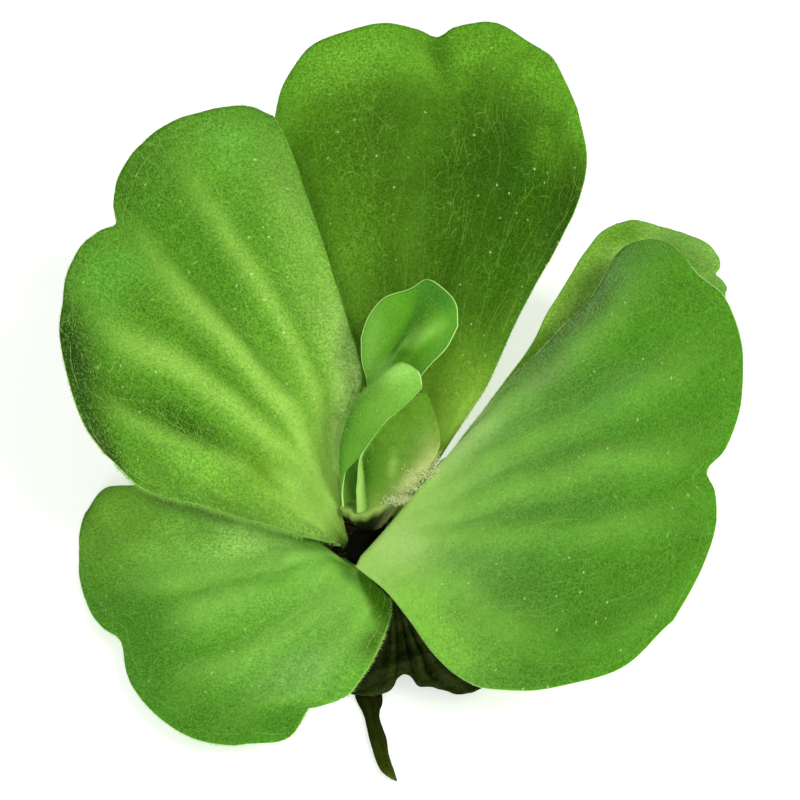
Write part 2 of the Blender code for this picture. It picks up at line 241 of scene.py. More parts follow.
def sheetPiece(name, leaf, looks):  # a leaf from a grid: bent, painted, then thickened by a modifier
    columns, rows, footRows = leaf["quads"]
    freshStart()
    bpy.ops.mesh.primitive_grid_add(x_subdivisions=columns, y_subdivisions=rows + footRows, size=1)
    piece = bpy.context.object
    piece.name = piece.data.name = name
    mesh = piece.data
    flat = vertexPlaces(mesh)
    u, share = np.clip(flat[:, 0] + 0.5, 0, 1), np.clip(flat[:, 1] + 0.5, 0, 1)
    places, v = leafPlaces(leaf, u, share)
    putVertices(mesh, places * mm)
    corner = np.empty(len(mesh.loops), int)
    mesh.loops.foreach_get("vertex_index", corner)
    mesh.uv_layers[0].name = "leafMap"
    mesh.uv_layers[0].data.foreach_set("uv", np.stack([u[corner], v[corner]], -1).ravel())
    tone = mesh.color_attributes.new("tone", "FLOAT_COLOR", "POINT")
    grain = (0.2 + 0.8 * smooth((v - 0.05) / 0.5)) * (1 - 0.45 * ridgeMask(leaf, u, v))
    shades = np.column_stack([leafTone(leaf, u, v), grain])  # the fourth channel: how grainy
    tone.data.foreach_set("color", shades.ravel())
    weight = thickness(leaf, u, v) / leaf["sheet"][0]
    plump = piece.vertex_groups.new(name="plump")
    for index, amount in enumerate(weight.tolist()):
        plump.add([index], amount, "REPLACE")
    for look in looks:
        mesh.materials.append(look)
    thicken = piece.modifiers.new("thickness", "SOLIDIFY")
    thicken.thickness = leaf["sheet"][0] * mm
    thicken.offset = 0
    thicken.vertex_group = "plump"
    thicken.material_offset = 1
    thicken.material_offset_rim = 2
    bpy.ops.object.modifier_apply(modifier="thickness")
    bpy.ops.object.shade_smooth()
    return piece


# Leaf skin: painted tone, a faint net of veins, fine speckle between the hairs, pale flecks

def leafSkin(name, netShare=0.16, netTone="98c45c", speckle=0.32, rough=0.6, bright=1.0, flecks=0.75):
    skin = bpy.data.materials.new(name)
    skin.use_nodes = True
    nodes, links = skin.node_tree.nodes, skin.node_tree.links
    shader = nodes["Principled BSDF"]

    def node(kind, **settings):
        made = nodes.new(kind)
        for key, value in settings.items():
            setattr(made, key, value)
        return made

    def feed(socket, value):  # with another node's output or a plain value
        if isinstance(value, bpy.types.NodeSocket):
            links.new(value, socket)
        else:
            socket.default_value = value

    def maths(kind, a, b):
        made = node("ShaderNodeMath", operation=kind)
        feed(made.inputs[0], a)
        feed(made.inputs[1], b)
        return made.outputs[0]

    def ranged(value, low, high, a=0.0, b=1.0):
        made = node("ShaderNodeMapRange")
        for key, fed in zip(("Value", "From Min", "From Max", "To Min", "To Max"), (value, low, high, a, b)):
            feed(made.inputs[key], fed)
        return made.outputs[0]

    def mixed(share, a, b, way="MIX"):
        made = node("ShaderNodeMix", data_type="RGBA", blend_type=way)
        for socket, value in ((0, share), (6, a), (7, b)):
            feed(made.inputs[socket], value)
        return made.outputs[2]

    def noise(scale, detail=2, harsh=0.5, output="Fac"):
        made = node("ShaderNodeTexNoise")
        for key, value in (("Vector", byPlace), ("Scale", scale), ("Detail", detail), ("Roughness", harsh)):
            feed(made.inputs[key], value)
        return made.outputs[output]

    def cells(source, stretch, **settings):
        stretched = node("ShaderNodeMapping")
        feed(stretched.inputs["Vector"], source)
        feed(stretched.inputs["Scale"], stretch)
        made = node("ShaderNodeTexVoronoi", voronoi_dimensions="2D", **settings)
        feed(made.inputs["Vector"], stretched.outputs[0])
        feed(made.inputs["Scale"], 1)
        return made.outputs

    byPlace = node("ShaderNodeTexCoord").outputs["Object"]
    leafMap = node("ShaderNodeUVMap", uv_map="leafMap").outputs[0]
    painted = node("ShaderNodeAttribute", attribute_name="tone")
    grainy = painted.outputs["Alpha"]

    # the net: small cells longer than wide, seen in patches
    shift = node("ShaderNodeVectorMath", operation="MULTIPLY_ADD")
    for socket, value in zip(shift.inputs, (noise(700, output="Color"), (0.022, 0.03, 0), leafMap)):
        feed(socket, value)
    webs = cells(shift.outputs[0], (34, 17, 1), feature="DISTANCE_TO_EDGE")  # 34 across, 17 along
    net = maths("MULTIPLY", ranged(webs["Distance"], 0.01, 0.06, 1, 0), ranged(noise(190), 0.3, 0.68))
    net = maths("MULTIPLY", net, grainy)
    veined = mixed(maths("MULTIPLY", net, netShare), painted.outputs["Color"], (*paint(netTone), 1))

    # blotches, speckle and the odd fleck
    fine = noise(3600, 2, 0.75)
    grain = maths("ADD", maths("MULTIPLY", ranged(fine, 0.34, 0.66, -speckle, speckle), grainy), 1.0)
    grain = maths("MULTIPLY", grain, ranged(noise(300, 3, 0.6), 0.3, 0.7, 0.95 * bright, 1.05 * bright))
    grey = node("ShaderNodeCombineColor")
    for socket, share in zip(grey.inputs, (1, 1, 0.82)):
        feed(socket, maths("MULTIPLY", grain, share))
    speckled = mixed(1.0, veined, grey.outputs[0], "MULTIPLY")
    spots = cells(leafMap, (22, 30, 1))
    pick = node("ShaderNodeSeparateColor")
    feed(pick.inputs[0], spots["Color"])
    dot = maths("MULTIPLY", ranged(spots["Distance"], 0.05, 0.09, 1, 0),
                ranged(pick.outputs[0], 0.82, 0.98, 0, flecks))
    feed(shader.inputs["Base Color"], mixed(dot, speckled, (*paint("cfea9c"), 1)))

    bump = node("ShaderNodeBump")
    for key, value in (("Height", maths("ADD", fine, maths("MULTIPLY", net, 0.7))),
                       ("Strength", 0.5), ("Distance", 0.06 * mm)):
        feed(bump.inputs[key], value)
    for key, value in (("Normal", bump.outputs[0]), ("Roughness", rough), ("Specular IOR Level", 0.06),
                       ("Subsurface Weight", 0.12), ("Subsurface Radius", (0.5, 1.0, 0.2)),
                       ("Subsurface Scale", 0.8 * mm)):
        feed(shader.inputs[key], value)
    return skin


def plain(name, code, rough=0.6, sheen=0.0, gloss=0.25):
    made = bpy.data.materials.new(name)
    made.use_nodes = True
    shader = made.node_tree.nodes["Principled BSDF"]
    shader.inputs["Base Color"].default_value = (*paint(code), 1)
    shader.inputs["Roughness"].default_value = rough
    shader.inputs["Specular IOR Level"].default_value = gloss
    shader.inputs["Sheen Weight"].default_value = sheen
    return made


# Veins and hairs are real strands: flat ribbons and thin three-sided needles

def meshPiece(name, places, faces, look):  # places in mm
    mesh = bpy.data.meshes.new(name)
    mesh.from_pydata((np.asarray(places) * mm).tolist(), [], faces)
    mesh.materials.append(look)
    made = bpy.data.objects.new(name, mesh)
    bpy.context.scene.collection.objects.link(made)
    return made


def joinedPiece(name, parts, look):  # each part: its places, then arrays of its faces
    places, faces, start = [], [], 0
    for some, *shapes in parts:
        places.append(some)
        for shape in shapes:
            faces += (shape + start).tolist()
        start += len(some)
    return meshPiece(name, np.concatenate(places), faces, look)


def ribbon(leaf, path, wide, high):  # a raised vein: three points across, along (u, v) places
    here, normal = surfaceAt(leaf, path[:, 0], path[:, 1])[:2]
    aside = np.cross(unit(np.gradient(here, axis=0)), normal)
    aside *= np.broadcast_to(wide, len(here))[:, None] / 2
    sunk = normal * 0.03
    rows = np.stack([here - aside - sunk, here + normal * high[:, None], here + aside - sunk], 1)
    first = np.arange(len(here) - 1)[:, None] * 3
    faces = np.concatenate([first + [3, 4, 1, 0], first + [4, 5, 2, 1], first + [5, 3, 0, 2]])
    return rows.reshape(-1, 3), faces


def needles(places, ways, lengths, wide):  # three-sided hairs, open at the foot
    across = unit(np.cross(ways, [0.31, 0.52, 0.79]))
    other = np.cross(ways, across)
    points = np.empty((len(places), 4, 3))
    for k in range(3):
        turn = 2 * math.pi * k / 3
        points[:, k] = places + (across * math.cos(turn) + other * math.sin(turn)) * wide / 2
    points[:, 3] = places + ways * lengths[:, None]
    first = np.arange(len(places))[:, None] * 4
    faces = np.concatenate([first + [0, 1, 3], first + [1, 2, 3], first + [2, 0, 3]])
    return points.reshape(-1, 3), faces


def tube(line, radii, sides=6):  # a closed round strand along 3-D places
    line = np.asarray(line, float)
    radii = np.broadcast_to(radii, len(line))[:, None, None]
    ahead = unit(np.gradient(line, axis=0))
    guide = np.eye(3)[np.abs(ahead.mean(0)).argmin()]
    across = unit(np.cross(ahead, guide))
    other = np.cross(ahead, across)
    turn = (np.arange(sides) * 2 * math.pi / sides)[:, None]
    rings = line[:, None] + radii * (np.cos(turn) * across[:, None] + np.sin(turn) * other[:, None])
    first = np.arange(len(line) - 1)[:, None] * sides
    walls = [first + [k, (k + 1) % sides, (k + 1) % sides + sides, k + sides] for k in range(sides)]
    places = np.concatenate([rings.reshape(-1, 3), line[:1], line[-1:]])
    start, end, last = len(places) - 2, len(places) - 1, (len(line) - 1) * sides
    caps = [[start, (k + 1) % sides, k] for k in range(sides)]
    caps += [[end, last + k, last + (k + 1) % sides] for k in range(sides)]
    return places, np.concatenate(walls), np.array(caps)


def tubesPiece(name, tubes, look):
    made = joinedPiece(name, tubes, look)
    for face in made.data.polygons:
        face.use_smooth = True
    return made


def scattered(leaf, perArea, side):  # (u, v) places, so many to a mm2 of leaf and fewer at the base
    tries = int(perArea * leaf["span"][0] * leaf["span"][1] * 4)
    u, v = chance.random(tries), chance.random(tries)
    size = surfaceAt(leaf, u, v, side)[4]
    keep = chance.random(tries) < perArea * size / tries * (0.25 + 0.75 * smooth(v / 0.35))
    return u[keep], v[keep]


def edgePath(*corners):  # (u, v) places from corner to corner, 50 to a stretch
    runs = [np.linspace(a, b, 50, endpoint=False) for a, b in zip(np.array(corners, float), corners[1:])]
    return np.concatenate(runs + [[corners[-1]]])


def edgeTube(leaf, corners, radius):
    path = edgePath(*corners)
    line = bent(leaf, path[:, 0], path[:, 1])
    taper = smooth(np.linspace(0, 12, len(line))) * smooth(np.linspace(12, 0, len(line)))
    return tube(line, radius * (0.35 + 0.65 * taper), 6)


# The five grown leaves. base is where a leaf starts, in mm, and azimuth where it points, in degrees.
# left, margin and right are its flat outline; foot is the edge hidden in the crown. pitch and roll are
# degrees and cup is the bend across, each by mm along. A ridge is a line of (v, u) places, its half
# width and its strength; lines of painted shade and painted light, and shades, which are painted
# shadows, are like it, with a colour. wash is colours by v, and a dab is (u, v, wide, long, colour).

leafBack = dict(
    base=(2.3, 7.8, 9.1), azimuth=87,
    pitch=[(0, 46), (8, 38), (30, 27), (54, 16)],
    cup=[(0, 0.06), (12, 0.01), (54, 0)],
    roll=[(0, 3), (20, 8), (54, 10)],
    left=[(-2.8, 2.5), (-3.7, 5.5), (-6.5, 10), (-9.4, 16.8), (-12.2, 22.6), (-14.7, 28.6),
          (-17, 34.2), (-19, 42.5)],
    margin=[(-19, 42.5), (-18.9, 47), (-18.1, 50.8), (-15.4, 55.1), (-10.6, 57.2),
            (-6.3, 57.8), (-2.6, 56.8), (0.1, 55.2), (2.2, 56.4), (5.2, 56.9), (7.6, 56.5),
            (11.3, 53.7), (13.7, 51.7), (15.5, 48.3), (17.1, 44.3)],
    right=[(2.2, 3), (3.2, 4.7), (5.2, 8), (7.5, 11.8), (10.2, 18), (12.8, 23.5),
           (15.7, 29), (17.6, 33.3), (18.3, 38.3), (17.1, 44.3)],
    foot=((-4.4, 5.4, 7.2), (0.0, 5.5, 7.2)),
    ridges=[([(0, .12), (1, .12)], .1, .7), ([(0, .4), (1, .5)], .07, 1),
            ([(0, .7), (1, .72)], .08, .5), ([(0, .92), (1, .92)], .07, .6)],
    relief=0.7, crest="5c8c22", crestShare=0.35,
    wash=[(-.5, "7a9a30"), (0, "7fa838"), (.2, "6c9c28"), (.36, "4f7f16"), (.65, "467210"),
          (.82, "588e1e"), (.92, "6eb02e"), (1, "66a62a")],
    hairTone="5e9018", veinTone="88b442", netShare=0.32, speckle=0.42,
    # painted shade: the dark dabs at u .8 to 1, v .55 to .7, where the right side curls away from the light
    dabs=[(.82, .55, .26, .25, "3a6a0a"), (.64, .66, .16, .16, "3a660c"), (.8, .68, .13, .13, "2e5a08"),
          (1, .7, .12, .16, "2a4e06"), (.24, .74, .12, .12, "4a7a14"), (.95, .12, .2, .12, "8ab844"),
          (.4, .74, .1, .14, "4a7a16"), (.36, .93, .2, .06, "78ba38"), (.22, .48, .14, .18, "588a1e"),
          (.86, .9, .1, .07, "66a42c"), (.56, .95, .04, .08, "4c8018"), (.84, .77, .06, .06, "568c1e"),
          (.85, .63, .05, .07, "3a6a0a")],
)

leafLeft = dict(
    base=(-3.0, 2.7, 10.1), azimuth=140,
    pitch=[(0, 42), (10, 30), (25, 22), (48, 12)],
    cup=[(0, 0.05), (15, 0.012), (50, 0.004)],
    roll=[(0, 0), (15, 5), (50, 14)],
    left=[(-5.2, 0.8), (-8.4, 4.3), (-11.8, 9.1), (-14.5, 13.9), (-17.6, 19.1), (-18, 24.8)],
    margin=[(-18, 24.8), (-17, 28.9), (-14.7, 33.6), (-11.2, 38.9), (-7.9, 41.9),
            (-5.5, 43.8), (-2, 45.3), (0.8, 45.2), (2.8, 44.3), (4.4, 46.3), (7.6, 48.4),
            (11.9, 49.3), (16.6, 48.5), (21.2, 45.9), (23.8, 43.2), (24.8, 40.6)],
    right=[(-3.5, 1), (-2.2, 2.6), (-0.2, 4.9), (2.4, 7.6), (4.8, 9.5), (9.3, 11.7),
           (11.3, 14.1), (14.9, 21), (19.9, 30.5), (23.1, 36.5), (24.8, 40.6)],
    foot=((-7.0, 0.4, 8.6), (-6.4, 2.8, 8.8)),
    ridges=[([(0, .72), (.16, .72), (.28, .66), (.38, .615), (.45, .6), (.82, .59), (1, .53)], .055, 1),
            ([(0, .86), (.27, .81), (.37, .77), (.51, .785), (.7, .77), (1, .76)], .03, .7),
            ([(0, .95), (.3, .93), (.42, .92), (.51, .94), (.7, .95), (1, .95)], .045, .75),
            ([(0, .6), (.2, .58), (.33, .46), (.47, .44), (.63, .42), (.77, .38), (1, .36)], .04, .85),
            ([(0, .5), (.15, .5), (.24, .35), (.35, .28), (.45, .24), (.64, .2), (1, .2)], .035, .6)],
    # painted shade along the creases between the ridges
    shadingLines=[([(0, .8), (.27, .75), (.32, .705), (.39, .67), (.47, .65), (.67, .64), (1, .64)],
              .028, .8, "4a8418"),
             ([(0, .88), (.31, .84), (.41, .825), (.5, .845), (.64, .83), (1, .84)], .02, .5, "5c9428"),
             ([(0, .6), (.3, .57), (.4, .52), (.5, .5), (.62, .5), (.77, .48), (1, .46)],
              .03, .75, "528a1c"),
             ([(0, .5), (.24, .43), (.33, .36), (.4, .33), (.49, .3), (.65, .26), (.8, .24), (1, .22)],
              .045, .85, "477c18")],
    relief=0.6, reliefStart=0.15, crest="a4d662", crestShare=0.8, shadingStart=0.2,
    # painted shade: near-black on the foot below v 0 and darker up to v .03, where the base curves down into
    # the dark heart
    wash=[(-.5, "141c08"), (-.1, "1c280c"), (-.01, "2c4014"), (.03, "6c9038"), (.08, "98c45c"),
          (.15, "98c858"), (.3, "80b840"), (.5, "5f9e28"), (.7, "569622"), (.88, "5c9a2a"), (1, "528826")],
    hairTone="a2d455", veinTone="98cc58", netShare=0.45, speckle=0.4,
    # painted shade: the near-black dabs at (.02, .94) and (.24, .97), where the far lower-left end curves
    # down from the light. painted highlight: the pale dabs at (.94, .33) and (.96, .36) along the right edge
    dabs=[(.31, .32, .06, .07, "66981e"), (.5, .12, .2, .07, "88b850"), (.02, .94, .14, .12, "264416"),
          (.24, .97, .16, .11, "264618"), (.66, .97, .1, .07, "467820"), (.94, .33, .07, .22, "b0da74"),
          (.96, .36, .04, .13, "d0f89a"), (.96, .82, .04, .1, "6ea040"), (.14, .53, .07, .12, "86c646"),
          (.92, .6, .05, .18, "78b044"), (.87, .92, .06, .07, "66a83a"), (.43, .94, .08, .06, "5c9c30"),
          (.27, .58, .05, .12, "3a6a14"), (.06, .74, .08, .1, "5c9428"), (.69, .76, .05, .16, "44801a"),
          (.47, .9, .08, .06, "5ea236"), (.66, .76, .07, .12, "4e8c1e"), (.0, .45, .08, .2, "5c9428")],
)

leafFrontLeft = dict(
    base=(-3.0, -2.1, 7.8), azimuth=208,
    pitch=[(0, 4), (10, -8), (22, -17), (34, -21)],
    cup=[(0, 0), (15, -0.008), (40, -0.012)],
    left=[(-2, 0.5), (-5, 0), (-8, 2), (-11, 5.5), (-12.7, 8.6), (-12.8, 10.2), (-12.3, 11.8),
          (-11.8, 13.1), (-12.4, 14.2), (-13.2, 15.2), (-13.75, 16.1)],
    margin=[(-13.75, 16.1), (-13.9, 17), (-13.5, 18.4), (-12.2, 20.7), (-10.5, 23.5), (-7, 26.5),
            (-2, 28.5), (3, 29), (7.2, 27.9), (10, 29), (14, 29.6), (19, 29), (24, 27.5), (27.6, 25.3)],
    right=[(2.4, 2.3), (8.8, 4.5), (16.2, 8.4), (22.5, 13.2), (26.5, 18), (29.6, 22),
           (27.6, 25.3)],
    foot=((-3.2, -4.4, 6.2), (-6.3, -2.4, 6.2)),
    ridges=[([(0, .8), (.4, .6), (1, .66)], .06, .8), ([(0, .53), (1, .51)], .06, .9),
            ([(0, .34), (1, .32)], .05, .7), ([(0, .15), (1, .15)], .05, .5)],
    relief=0.4, crest="94d060", crestShare=0.75, shadingStart=-0.3, sideVeins=(0.97,),
    # painted shadow: the dark line just below leaf_left's lower margin, where that edge shades this leaf
    shadingLines=[([(0, .98), (.06, .97), (.19, .84), (.3, .815), (.41, .83), (.49, .86), (.54, .89),
               (.68, .94), (.8, 1)], .036, .95, "1c360a")],
    # painted shadow: the dark zone at small u near the base, cast by leaf_right
    shades=[([(0, .42), (.09, .34), (.17, .19), (.31, .03), (.38, -.1)], .07, "508018")],
    wash=[(-.5, "86b860"), (0, "8ccc5a"), (.3, "7cbc4a"), (.5, "6cae3c"), (.75, "5c9f2e"),
          (.9, "4c8a24"), (1, "4a8624")],
    hairTone="94cc58", veinTone="8ac456",
    # painted shadow and shade: (.04, .37) at the edge of leaf_right's shadow, (.85, -.02) and (.6, .1)
    # beside the dark heart. painted light: (.76, .4), (.8, .64) and (.9, .82), where leaf_left shades this
    # leaf
    dabs=[(.04, .37, .05, .1, "4e7420"), (.85, -.02, .35, .07, "2a460e"), (.76, .4, .1, .2, "c8fc90"),
          (.8, .64, .1, .14, "a8e86a"), (.6, .1, .14, .06, "588c2a"), (.9, .82, .12, .14, "98d44c"),
          (.18, .6, .09, .15, "7cb45c"), (.35, .28, .12, .12, "84c056"), (.52, .42, .06, .1, "74b446"),
          (.5, .9, .12, .12, "4a8826")],
)

leafRight = dict(
    base=(1.0, -1.8, 12.6), azimuth=8,
    pitch=[(-8, 6), (0, 16), (6, 18), (14, 12), (26, 6), (44, 0)],
    cup=[(0, -0.004), (15, 0), (50, 0)],
    roll=[(-8, -3), (0, -6), (10, -9), (44, -12)],
    left=[(-8.7, 7.0), (-12, 10.6), (-15.4, 14.6), (-18.7, 19.3), (-22.3, 23.9),
          (-26, 27.6), (-29.4, 30.3), (-30.4, 32.2), (-30.4, 33.9)],
    margin=[(-30.4, 33.9), (-29.7, 35.4), (-28.1, 36.7), (-24.5, 38.4), (-21.2, 40.4), (-17, 41.1),
            (-12.5, 40.6), (-7, 39), (-2.5, 36.4), (0, 33.7), (2.6, 34), (6.5, 33.2),
            (11.5, 30.3), (16.2, 26.3)],
    right=[(1.9, -5.7), (5.4, -3.1), (9.5, -1.1), (13.6, 0.5), (17, 2.7), (19.2, 5.6),
           (20.8, 12), (20.2, 20), (16.2, 26.3)],
    foot=((2.9, 1.4, 8.0), (1.5, -3.2, 8.0)), arch=0.1,
    ridges=[([(0, .14), (.35, .09), (1, .06)], .05, .8),
            ([(0, .43), (.3, .29), (.6, .27), (1, .33)], .055, .8),
            ([(0, .6), (.35, .44), (.6, .43), (1, .58)], .05, .9),
            ([(0, .72), (.3, .6), (.5, .58), (1, .72)], .05, .9),
            ([(0, .86), (.3, .8), (.6, .88), (1, .9)], .055, 1)],
    relief=0.9, crest="84c050", crestShare=0.55,
    wash=[(-.5, "a0c870"), (0, "a8d276"), (.1, "98c868"), (.25, "74aa50"), (.45, "548c34"),
          (.7, "4c8c1e"), (1, "4e8c1e")],
    hairTone="98cc60", veinTone="88bc54",
    # painted sheen: the grey dabs at (.0, .62) and (.1, .42), the glancing reflection on the hairs of the
    # left edge
    dabs=[(.57, .57, .06, .1, "549030"), (.26, .58, .05, .12, "58943a"), (.0, .62, .07, .32, "5c7e50"),
          (.8, .06, .2, .09, "aad27c"), (.1, .42, .035, .1, "6c9250"), (.95, .25, .1, .2, "86c44a"),
          (.87, .68, .14, .2, "4a8620"), (.0, .1, .2, .14, "a6c888")],
)

leafRightBack = dict(
    base=(2.7, 3.2, 7.3), azimuth=39,
    pitch=[(0, 30), (10, 20), (25, 14), (50, 6)],
    cup=[(0, 0.03), (15, 0.01), (50, 0)],
    left=[(-1.6, 4), (-4.0, 9), (-6.1, 18.2), (-8, 25), (-10.7, 31.8), (-13.1, 38.5),
          (-13.8, 41.5), (-13.5, 43.7)],
    margin=[(-13.5, 43.7), (-12.4, 45.5), (-10.6, 46.9), (-7.5, 48.4), (-4, 49.4), (-1.6, 49),
            (-0.4, 48), (-0.1, 47), (1.1, 46.9), (2.5, 46.3), (3.3, 45.2), (7, 42.5), (11.7, 37.2),
            (14, 31)],
    right=[(2.6, 4), (5, 8.5), (9, 16), (13.5, 24), (14, 31)],
    foot=((0.8, 4.7, 5.8), (2.7, 2.2, 5.8)),
    ridges=[([(0, .2), (1, .2)], .06, .6), ([(0, .5), (1, .5)], .06, .8), ([(0, .8), (1, .8)], .06, .6)],
    # painted light: the pale line near the left edge (u .1 to .13), lifting the shadow leaf_right casts
    # there
    shadingLines=[([(0, .1), (1, .13)], .05, .85, "c0ec84")], relief=0.6, crest="8cbc58", crestShare=0.4,
    wash=[(-.5, "8ab050"), (0, "86b048"), (.4, "6c9a34"), (.8, "6ea438"), (1, "7cb050")],
    hairTone="98c458", veinTone="98c058",
    # painted light: the dab at (.0, .6) along the left edge, lifting leaf_right's shadow
    dabs=[(.0, .6, .14, .4, "98c850"), (.3, 1, .2, .06, "88bc5a"), (.08, .94, .07, .06, "70a830")],
)

grown = dict(quads=(120, 100, 10), sheet=(1.0, 0.5, 0.25), span=(34, 46),
             swells=[(9, 0.16), (3.5, 0.06), (1.8, 0.025)])
grownLeaves = {
    "leaf_back": leafBack, "leaf_left": leafLeft, "leaf_front_left": leafFrontLeft,
    "leaf_right": leafRight, "leaf_right_back": leafRightBack,
}
underside = leafSkin("leafUnderside", netTone="b8d890", netShare=0.24, speckle=0.2, bright=1.1)
rimLook = plain("leafRim", "86b84c", 0.6, 0.1)
veins = dict(mains=13, points=56, forks=4, steps=7)  # forks to a main, and steps between two mains


def veinPaths(leaf):  # (u, v) paths with their widths in mm
    paths, mains = [], []
    for k in range(veins["mains"]):
        foot = (k + 0.5) / veins["mains"] + chance.uniform(-0.015, 0.015)
        end = 0.5 + (foot - 0.5) * 1.02 + chance.uniform(-0.02, 0.02)
        v = np.linspace(0.06, chance.uniform(0.86, 0.94), veins["points"])
        wave, size = chance.uniform(0, 2 * math.pi, 3), chance.uniform(0.003, 0.008, 3)
        u = foot + (end - foot) * v + sum(s * np.sin(v * f + w) for s, f, w in zip(size, (6, 15, 31), wave))
        u = np.clip(u, 0.02, 0.98)
        mains.append((u, v))
        paths.append((np.stack([u, v], 1), 0.11 - 0.06 * v))
        for _ in range(veins["forks"]):
            start = chance.integers(14, 46)
            left = chance.choice([-1, 1])
            run = np.arange(start, min(start + chance.integers(10, 18), veins["points"]))
            away = (v[run] - v[start]) * left * chance.uniform(0.12, 0.3)
            fork = np.clip(u[run] + away + 0.002 * np.sin(v[run] * 40 + start), 0.02, 0.98)
            paths.append((np.stack([fork, v[run]], 1), 0.065))
    for low, high in zip(mains, mains[1:]):
        for _ in range(veins["steps"]):
            at = chance.integers(8, 50)
            share = np.linspace(0, 1, 5)
            climb = share * chance.uniform(-0.02, 0.05)
            u = low[0][at] + (high[0][at] - low[0][at]) * share
            v = np.clip(low[1][at] + climb + 0.008 * np.sin(share * 7 + at), 0.02, 0.97)
            paths.append((np.stack([u, v], 1), 0.05))
    rim = np.linspace(0.035, 0.965, 110)  # one that follows the margin, then one near each side
    paths.append((np.stack([rim, 0.962 + 0.006 * np.sin(rim * 37)], 1), 0.09))
    for u in leaf.get("sideVeins", (0.03, 0.97)):
        v = np.linspace(0.15, 0.96, 60)
        paths.append((np.stack([np.full(60, u), v], 1), 0.06))
    return paths


for node, leaf in grownLeaves.items():
    for key, value in grown.items():
        leaf.setdefault(key, value)
    skin = leafSkin(node + "Skin", netShare=leaf.get("netShare", 0.2), speckle=leaf.get("speckle", 0.32))
    rideOn(sheetPiece(node + "_blade", leaf, [skin, underside, rimLook]), node, node)
print("grown leaves:", len(grownLeaves))

for node, leaf in grownLeaves.items():
    parts = []
    for path, wide in veinPaths(leaf):  # each one sinks into the skin here and there
        sink = np.sin(np.cumsum(chance.uniform(0.1, 0.7, len(path))))
        parts.append(ribbon(leaf, path, wide, (0.012 + 0.014 * sink) * smooth(path[:, 1] / 0.3)))
    rideOn(joinedPiece(node + "_veins", parts, plain(node + "Vein", leaf["veinTone"], 0.55)), node)
print("veins done")


def fuzzOn(name, leaf, slot, look, perArea, side=1, length=(0.22, 0.48)):
    u, v = scattered(leaf, perArea, side)
    here, normal, across, out, _ = surfaceAt(leaf, u, v, side)
    lean = chance.normal(0, 0.45, (3, len(u)))
    ways = unit(normal + across * lean[0][:, None] + out * (0.25 + lean[1])[:, None])
    long = chance.uniform(*length, len(u))
    places, faces = needles(here - normal * 0.02, ways, long, 0.036)
    rideOn(meshPiece(name, places, faces.tolist(), look), slot)
    return len(u)


def fringe(leaf, count, corners, long, outward, sag=0.2, inset=0.0):  # hairs that reach past an edge
    path = np.array(corners, float)
    run = np.arange(len(path))
    at = chance.uniform(0, len(path) - 1, count)
    u, v = np.interp(at, run, path[:, 0]), np.interp(at, run, path[:, 1])
    u = np.clip(u + chance.random(count) ** 1.5 * inset, 0, 1)
    here, normal, across, out, _ = surfaceAt(leaf, u, v)
    away = across * outward[0] + out * outward[1]
    ways = away + chance.normal(0, 0.3, (count, 3)) + normal * chance.normal(-sag, 0.25, count)[:, None]
    start = here - normal * chance.uniform(0.02, 0.02 if inset else 0.25, count)[:, None]
    return needles(start, unit(ways), chance.uniform(*long, count), 0.045)


# how many hairs, along which (u, v) places, how long, and their lean across and out; then, for some,
# how far they sag and how far in from the edge they spread
edges = {
    "leaf_left": [(300, [(0, 0), (1, 0)], (0.15, 0.35), (0, -1)),
                  (700, [(0, .16), (0, .95)], (0.35, 0.8), (-1, 0.15)),
                  (3200, [(0.01, .03), (0.01, .75)], (0.3, 0.7), (-1, -0.1), -0.35, 0.18),
                  (1300, [(0.99, .25), (0.99, .9)], (0.3, 0.55), (1, -0.3), -0.35, -0.12),
                  (500, [(1, .1), (1, .6)], (0.2, 0.4), (1, 0)),
                  (700, [(0, 1), (.5, 1), (1, 1)], (0.2, 0.4), (0, 1))],
    "leaf_right": [(900, [(0, 0), (0, .6)], (0.25, 0.6), (-1, 0)),
                   (500, [(0, 0), (1, 0)], (0.2, 0.5), (0, -1)),
                   (500, [(0, 1), (.5, 1), (1, 1)], (0.15, 0.3), (0, 1))],
    "leaf_front_left": [(500, [(0, .1), (0, 1)], (0.2, 0.5), (-1, 0)),
                        (600, [(0, 1), (1, 1)], (0.15, 0.35), (0, 1)),
                        (300, [(1, .2), (1, .8)], (0.2, 0.4), (1, 0))],
    "leaf_back": [(700, [(0, 1), (.5, 1), (1, 1)], (0.15, 0.3), (0, 1)),
                  (400, [(0, .1), (0, 1)], (0.15, 0.35), (-1, 0)),
                  (400, [(1, .1), (1, 1)], (0.15, 0.35), (1, 0))],
}
margins = {
    "leaf_left": [(0, .75), (0, 1), (1, 1), (1, .3)], "leaf_right": [(1, 0), (1, 1), (0, 1), (0, .2)],
    "leaf_front_left": [(0, .1), (0, 1), (1, 1)], "leaf_back": [(0, .5), (0, 1), (1, 1), (1, .5)],
    "leaf_right_back": [(0, .5), (0, 1), (.6, 1)],
}
for node, runs in edges.items():
    parts = [fringe(grownLeaves[node], *run) for run in runs]
    look = plain(node + "Fringe", "8cc050" if node == "leaf_left" else "a4d068", 0.6)
    rideOn(joinedPiece(node + "_fringe", parts, look), node)

for node, leaf in grownLeaves.items():
    hairLook = plain(node + "Hair", leaf["hairTone"], 0.6)
    above = fuzzOn(node + "_hairs", leaf, node, hairLook, 20)
    below = fuzzOn(node + "_under_hairs", leaf, node, hairLook, 5, side=-1, length=(0.2, 0.4))
    print(node, "hairs", above, below)

marginLook = plain("leafMargin", "9cc860", 0.6)
for node, corners in margins.items():
    rideOn(tubesPiece(node + "_margin", [edgeTube(grownLeaves[node], corners, 0.05)], marginLook), node)

